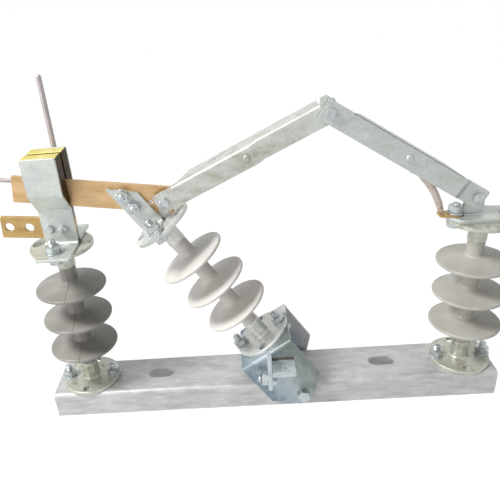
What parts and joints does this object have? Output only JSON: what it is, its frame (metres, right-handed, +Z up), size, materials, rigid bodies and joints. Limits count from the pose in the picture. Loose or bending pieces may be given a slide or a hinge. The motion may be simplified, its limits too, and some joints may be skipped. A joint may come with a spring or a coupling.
{
  "type": "medium-voltage disconnect switch with a tilting insulator",
  "caption": "Outdoor line disconnector: two fixed post insulators and a tilting middle one on a steel channel, with a blade, a jaw and two folding arms.",
  "frame": {"origin": "midway between the two mounting slots, at the level the channel stands on", "axes": "+X along the channel from the jaw post to the hinge post, +Y to the rear, +Z up"},
  "size_m": [0.7982, 0.1593, 0.548],
  "materials": {
    "channel_zinc": "hot-dip galvanised, matt grey with drag streaks",
    "plate_zinc": "hot-dip galvanised, satin",
    "bracket_zinc": "bright zinc, semi-gloss",
    "flange_zinc": "galvanised forging, satin",
    "fastener_zinc": "zinc-plated, satin",
    "rod_steel": "drawn steel, satin",
    "silicone": "moulded silicone, matt",
    "copper_alloy": "rolled copper alloy, satin",
    "contact_brass": "sawn brass, satin",
    "braid_copper": "woven tinned copper"
  },
  "bodies": {
    "base": {"base_channel": "channel_zinc", "left_insulator": "silicone", "left_bottom_flange": "flange_zinc", "left_top_flange": "flange_zinc", "left_base_bolts": "fastener_zinc", "jaw_front_strip": "plate_zinc", "jaw_rear_strip": "plate_zinc", "jaw_front_contact": "contact_brass", "jaw_rear_contact": "contact_brass", "terminal_pad": "copper_alloy", "jaw_clamp_bolts": "fastener_zinc", "jaw_foot_bolts": "fastener_zinc", "fixed_arcing_horn": "rod_steel", "right_insulator": "silicone", "right_bottom_flange": "flange_zinc", "right_top_flange": "flange_zinc", "right_base_bolts": "fastener_zinc", "hinge_plate": "plate_zinc", "hinge_ear": "plate_zinc", "hinge_plate_bolts": "fastener_zinc", "hinge_bolt": "fastener_zinc", "braid": "braid_copper", "pivot_bolt": "fastener_zinc", "pivot_spacers": "fastener_zinc"},
    "tilt": {"tilt_bracket": "bracket_zinc", "drive_lug": "bracket_zinc", "drive_gusset": "bracket_zinc", "drive_bolt": "fastener_zinc", "tilt_insulator": "silicone", "tilt_bottom_flange": "flange_zinc", "tilt_top_flange": "flange_zinc", "tilt_base_bolts": "fastener_zinc", "carrier_front": "plate_zinc", "carrier_rear": "plate_zinc", "carrier_foot_bolts": "fastener_zinc", "carrier_bolts": "fastener_zinc", "blade": "copper_alloy", "moving_arcing_horn": "rod_steel", "blade_pivot_nut": "fastener_zinc"},
    "left_arm": {"left_arm": "plate_zinc", "blade_pivot_bolt": "fastener_zinc", "left_arm_rivet": "fastener_zinc"},
    "right_arm": {"right_arm": "plate_zinc", "knee_bolt": "fastener_zinc", "right_arm_rivet": "fastener_zinc", "braid_arm_lug": "braid_copper"}
  },
  "joints": [
    {"name": "tilt", "type": "hinge", "parent": "base", "child": "tilt", "pos_m": [0.05, 0, 0.028], "axis": [0, 1, 0], "range_deg": [0, 45]},
    {"name": "hinge", "type": "hinge", "parent": "base", "child": "right_arm", "pos_m": [0.307, 0, 0.3395], "axis": [0, 1, 0], "range_deg": [0, 64], "deforming": ["braid"]},
    {"name": "knee", "type": "hinge", "parent": "right_arm", "child": "left_arm", "pos_m": [0.0935, 0, 0.4771], "axis": [0, 1, 0], "range_deg": [-85, 0]}
  ],
  "couplings": [
    {"joint": "hinge", "follows": "tilt", "ratio": 1.412},
    {"joint": "knee", "follows": "tilt", "ratio": -1.8727}
  ]
}
